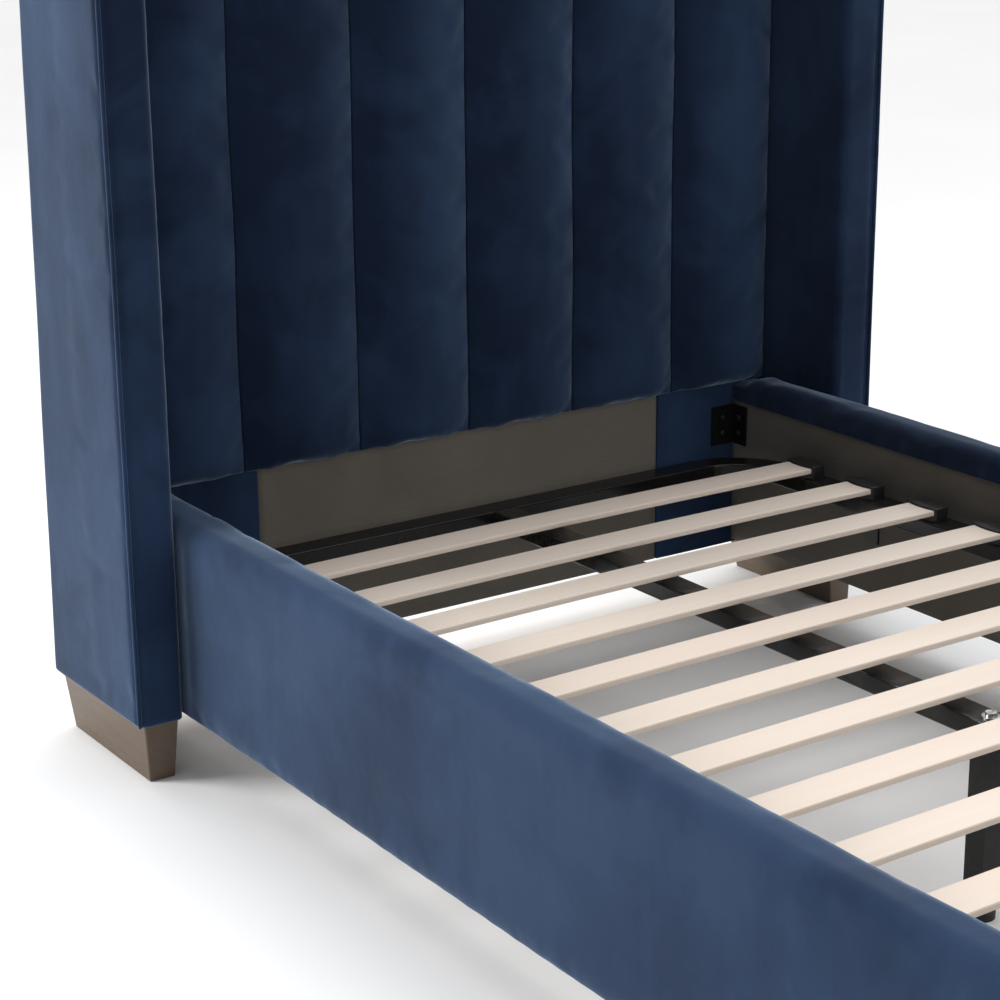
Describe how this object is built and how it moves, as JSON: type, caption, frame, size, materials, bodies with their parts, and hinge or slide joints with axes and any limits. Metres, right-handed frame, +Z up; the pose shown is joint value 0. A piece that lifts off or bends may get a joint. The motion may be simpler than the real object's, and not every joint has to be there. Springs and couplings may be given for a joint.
{
  "type": "upholstered bed",
  "caption": "Single bed with a tall winged headboard padded in vertical channels, padded side rails, wooden block legs and a lift-out steel frame of sprung wooden slats.",
  "frame": {"origin": "on the floor, under the centre of the bed's bounding box", "axes": "+Y from the foot to the headboard, +Z up, +X across the bed to its right as seen from the foot"},
  "size_m": [1.282, 2.263, 1.4],
  "materials": {
    "navy_velvet": "short-pile velvet, soft sheen",
    "taupe_lining": "plain woven lining cloth, matte",
    "core_timber": "raw sawn timber and board",
    "leg_wood": "grey-brown stain, satin",
    "birch_slat": "pale laminated birch, smooth",
    "black_steel": "gloss black powder coat",
    "black_screws": "black zinc, satin",
    "zinc_steel": "zinc plated",
    "holder_plastic": "moulded black plastic, satin"
  },
  "bodies": {
    "bed_box": {"bracket_screws": "black_screws", "corner_brackets": "black_steel", "foot_leg_left": "leg_wood", "foot_leg_right": "leg_wood", "footboard_core": "core_timber", "footboard_lining": "taupe_lining", "footboard_pad": "navy_velvet", "frame_support_brackets": "black_steel", "head_leg_left": "leg_wood", "head_leg_right": "leg_wood", "headboard_back_panel": "navy_velvet", "headboard_channel_1": "navy_velvet", "headboard_channel_2": "navy_velvet", "headboard_channel_3": "navy_velvet", "headboard_channel_4": "navy_velvet", "headboard_channel_5": "navy_velvet", "headboard_channel_6": "navy_velvet", "headboard_cross_rails": "core_timber", "headboard_front_board": "core_timber", "headboard_lower_lining": "taupe_lining", "headboard_post_left": "core_timber", "headboard_post_right": "core_timber", "leg_bolts": "zinc_steel", "post_cover_left": "navy_velvet", "post_cover_right": "navy_velvet", "side_rail_core_left": "core_timber", "side_rail_core_right": "core_timber", "side_rail_lining_left": "taupe_lining", "side_rail_lining_right": "taupe_lining", "side_rail_pad_left": "navy_velvet", "side_rail_pad_right": "navy_velvet", "wing_bolts": "zinc_steel", "wing_core_left": "core_timber", "wing_core_right": "core_timber", "wing_pad_left": "navy_velvet", "wing_pad_right": "navy_velvet", "wing_welts": "navy_velvet"},
    "slat_frame": {"centre_beam": "black_steel", "centre_leg": "black_steel", "centre_leg_bolt": "zinc_steel", "slat_01": "birch_slat", "slat_02": "birch_slat", "slat_03": "birch_slat", "slat_04": "birch_slat", "slat_05": "birch_slat", "slat_06": "birch_slat", "slat_07": "birch_slat", "slat_08": "birch_slat", "slat_09": "birch_slat", "slat_10": "birch_slat", "slat_11": "birch_slat", "slat_12": "birch_slat", "slat_13": "birch_slat", "slat_14": "birch_slat", "slat_frame_foot_tube": "black_steel", "slat_frame_head_tube": "black_steel", "slat_frame_side_tube_left": "black_steel", "slat_frame_side_tube_right": "black_steel", "slat_holders": "holder_plastic"},
    "levelling_foot": {"centre_leg_foot": "holder_plastic"}
  },
  "joints": [
    {"name": "slat_frame_lift", "type": "slide", "parent": "bed_box", "child": "slat_frame", "axis": [0, 0, 1], "range_m": [0, 0.4]},
    {"name": "levelling_foot_screw", "type": "slide", "parent": "slat_frame", "child": "levelling_foot", "axis": [0, 0, 1], "range_m": [0, 0.012]}
  ]
}
